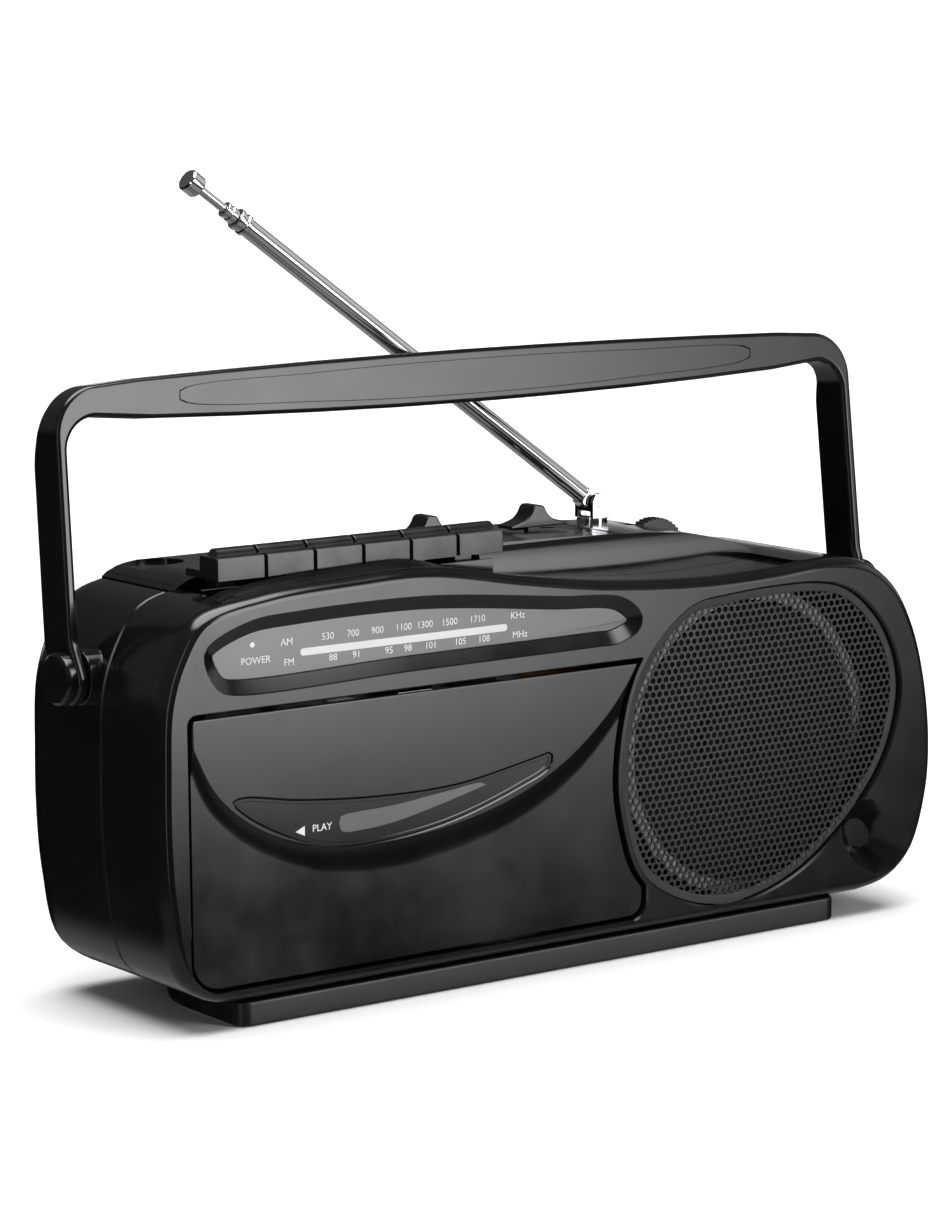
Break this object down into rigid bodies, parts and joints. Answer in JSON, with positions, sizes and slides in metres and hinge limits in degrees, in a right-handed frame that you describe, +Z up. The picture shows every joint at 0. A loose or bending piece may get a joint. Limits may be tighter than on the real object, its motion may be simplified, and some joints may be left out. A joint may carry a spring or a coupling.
{
  "type": "portable radio cassette recorder",
  "caption": "Shoebox portable radio with a front cassette door, piano keys, one round speaker, a swing handle and a telescopic antenna.",
  "frame": {"origin": "on the ground under the middle of the whole recorder, at the bottom centre of its box", "axes": "+X to the listener's right along the case, +Y from the front face to the back, +Z up"},
  "size_m": [0.317, 0.08, 0.2492],
  "materials": {
    "gloss_black": "gloss",
    "satin_black": "satin",
    "grille_steel": "satin",
    "dial_lens": "clear gloss",
    "scale_card": "matte",
    "chrome": "polished",
    "steel": "zinc plated",
    "brass": "turned",
    "rubber": "matte",
    "paper": "pressed paper",
    "board": "phenolic board",
    "red": "gloss",
    "white": "satin"
  },
  "bodies": {
    "case": {"front_shell": "gloss_black", "rear_shell": "gloss_black", "top_deck": "gloss_black", "base_plinth": "satin_black", "battery_box": "satin_black", "mains_inlet": "satin_black", "headphone_jack": "satin_black", "speaker_grille": "grille_steel", "dial_lens": "dial_lens", "dial_plate": "scale_card", "power_led": "red", "case_screw_1": "steel", "case_screw_2": "steel", "case_screw_3": "steel", "case_screw_4": "steel", "key_shaft": "steel", "speaker_frame": "steel", "speaker_magnet": "steel", "deck_chassis": "steel", "motor": "steel", "battery_contacts": "steel", "transformer": "steel", "microphone": "steel", "drive_belt": "rubber", "ferrite_antenna": "rubber", "speaker_cone": "paper", "switch_board": "board", "main_board": "board"},
    "handle": {"handle": "gloss_black", "handle_grip": "satin_black", "handle_cap_left": "gloss_black", "handle_cap_right": "gloss_black"},
    "cassette_door": {"cassette_door": "gloss_black", "door_window": "dial_lens", "cassette_holder": "satin_black"},
    "supply_spindle": {"supply_spindle": "satin_black"},
    "takeup_spindle": {"takeup_spindle": "satin_black"},
    "capstan": {"capstan_flywheel": "steel"},
    "motor_pulley": {"motor_pulley": "brass"},
    "head_plate": {"head_plate": "steel", "record_play_head": "chrome", "erase_head": "white", "pinch_arm": "steel"},
    "pinch_roller": {"pinch_roller": "rubber"},
    "volume_wheel": {"volume_wheel": "satin_black"},
    "tuning_wheel": {"tuning_wheel": "satin_black"},
    "dial_pointer": {"dial_pointer": "red"},
    "function_knob": {"function_switch_knob": "gloss_black"},
    "band_knob": {"band_switch_knob": "gloss_black"},
    "antenna_swivel": {"antenna_base": "chrome"},
    "antenna_outer": {"antenna_outer_tube": "chrome"},
    "antenna_middle": {"antenna_middle_tube": "chrome"},
    "antenna_tip": {"antenna_tip_rod": "chrome"},
    "battery_door": {"battery_door": "gloss_black"},
    "key_record": {"key_record": "satin_black"},
    "key_play": {"key_play": "satin_black"},
    "key_rewind": {"key_rewind": "satin_black"},
    "key_fast_forward": {"key_fast_forward": "satin_black"},
    "key_stop_eject": {"key_stop_eject": "satin_black"},
    "key_pause": {"key_pause": "satin_black"}
  },
  "joints": [
    {"name": "handle_swing", "type": "hinge", "parent": "case", "child": "handle", "pos_m": [0, 0.0046, 0.1024], "axis": [-1, 0, 0], "range_deg": [-140, 0]},
    {"name": "door_open", "type": "hinge", "parent": "case", "child": "cassette_door", "pos_m": [-0.056, -0.0382, 0.0155], "axis": [1, 0, 0], "range_deg": [0, 30]},
    {"name": "key_record_press", "type": "hinge", "parent": "case", "child": "key_record", "pos_m": [-0.1133, 0, 0.125], "axis": [1, 0, 0], "range_deg": [0, 7], "stiffness_Nm_per_rad": 0.4, "springref_deg": -2.86},
    {"name": "key_play_press", "type": "hinge", "parent": "case", "child": "key_play", "pos_m": [-0.0959, 0, 0.125], "axis": [1, 0, 0], "range_deg": [0, 7], "stiffness_Nm_per_rad": 0.4, "springref_deg": -2.86},
    {"name": "key_rewind_press", "type": "hinge", "parent": "case", "child": "key_rewind", "pos_m": [-0.0785, 0, 0.125], "axis": [1, 0, 0], "range_deg": [0, 7], "stiffness_Nm_per_rad": 0.4, "springref_deg": -2.86},
    {"name": "key_fast_forward_press", "type": "hinge", "parent": "case", "child": "key_fast_forward", "pos_m": [-0.0611, 0, 0.125], "axis": [1, 0, 0], "range_deg": [0, 7], "stiffness_Nm_per_rad": 0.4, "springref_deg": -2.86},
    {"name": "key_stop_eject_press", "type": "hinge", "parent": "case", "child": "key_stop_eject", "pos_m": [-0.0437, 0, 0.125], "axis": [1, 0, 0], "range_deg": [0, 7], "stiffness_Nm_per_rad": 0.4, "springref_deg": -2.86},
    {"name": "key_pause_press", "type": "hinge", "parent": "case", "child": "key_pause", "pos_m": [-0.0263, 0, 0.125], "axis": [1, 0, 0], "range_deg": [0, 7], "stiffness_Nm_per_rad": 0.4, "springref_deg": -2.86},
    {"name": "head_plate_drop", "type": "slide", "parent": "case", "child": "head_plate", "axis": [0, 0, -1], "range_m": [0, 0.005], "stiffness_N_per_m": 60, "springref_m": -0.008},
    {"name": "supply_spin", "type": "hinge", "parent": "case", "child": "supply_spindle", "pos_m": [-0.07725, -0.02, 0.0515], "axis": [0, 1, 0], "continuous": true},
    {"name": "takeup_spin", "type": "hinge", "parent": "case", "child": "takeup_spindle", "pos_m": [-0.03475, -0.02, 0.0515], "axis": [0, 1, 0], "continuous": true},
    {"name": "capstan_spin", "type": "hinge", "parent": "case", "child": "capstan", "pos_m": [-0.03, -0.015, 0.076], "axis": [0, 1, 0], "continuous": true},
    {"name": "motor_spin", "type": "hinge", "parent": "case", "child": "motor_pulley", "pos_m": [-0.098, -0.013, 0.072], "axis": [0, 1, 0], "continuous": true},
    {"name": "pinch_spin", "type": "hinge", "parent": "head_plate", "child": "pinch_roller", "pos_m": [-0.03, -0.03, 0.0892], "axis": [0, 1, 0], "continuous": true},
    {"name": "volume_turn", "type": "hinge", "parent": "case", "child": "volume_wheel", "pos_m": [0.0745, 0.015, 0.1183], "axis": [0, 1, 0], "range_deg": [0, 270]},
    {"name": "tuning_turn", "type": "hinge", "parent": "case", "child": "tuning_wheel", "pos_m": [0.1364, 0.014, 0.055], "axis": [0, 1, 0], "range_deg": [0, 270]},
    {"name": "pointer_slide", "type": "slide", "parent": "case", "child": "dial_pointer", "axis": [1, 0, 0], "range_m": [0, 0.079]},
    {"name": "function_slide", "type": "slide", "parent": "case", "child": "function_knob", "axis": [1, 0, 0], "range_m": [-0.006, 0.006]},
    {"name": "band_slide", "type": "slide", "parent": "case", "child": "band_knob", "axis": [1, 0, 0], "range_m": [-0.004, 0.004]},
    {"name": "antenna_turn", "type": "hinge", "parent": "case", "child": "antenna_swivel", "pos_m": [0.057, 0.025, 0.13], "axis": [0, 0, -1], "range_deg": [0, 180]},
    {"name": "antenna_fold", "type": "hinge", "parent": "antenna_swivel", "child": "antenna_outer", "pos_m": [0.057, 0.025, 0.1355], "axis": [0, -1, 0], "range_deg": [-54.3, 35.7]},
    {"name": "antenna_extend", "type": "slide", "parent": "antenna_outer", "child": "antenna_middle", "axis": [-0.8121, 0, 0.5835], "range_m": [0, 0.145]},
    {"name": "antenna_tip_extend", "type": "slide", "parent": "antenna_middle", "child": "antenna_tip", "axis": [-0.8121, 0, 0.5835], "range_m": [-0.01, 0.14]},
    {"name": "battery_door_open", "type": "hinge", "parent": "case", "child": "battery_door", "pos_m": [0, 0.0389, 0.0146], "axis": [-1, 0, 0], "range_deg": [0, 90]}
  ],
  "couplings": [
    {"joint": "motor_spin", "follows": "capstan_spin", "ratio": 5.3},
    {"joint": "key_play_press", "follows": "head_plate_drop", "rad_per_m": 24.4},
    {"joint": "pointer_slide", "follows": "tuning_turn", "m_per_rad": 0.01655}
  ]
}
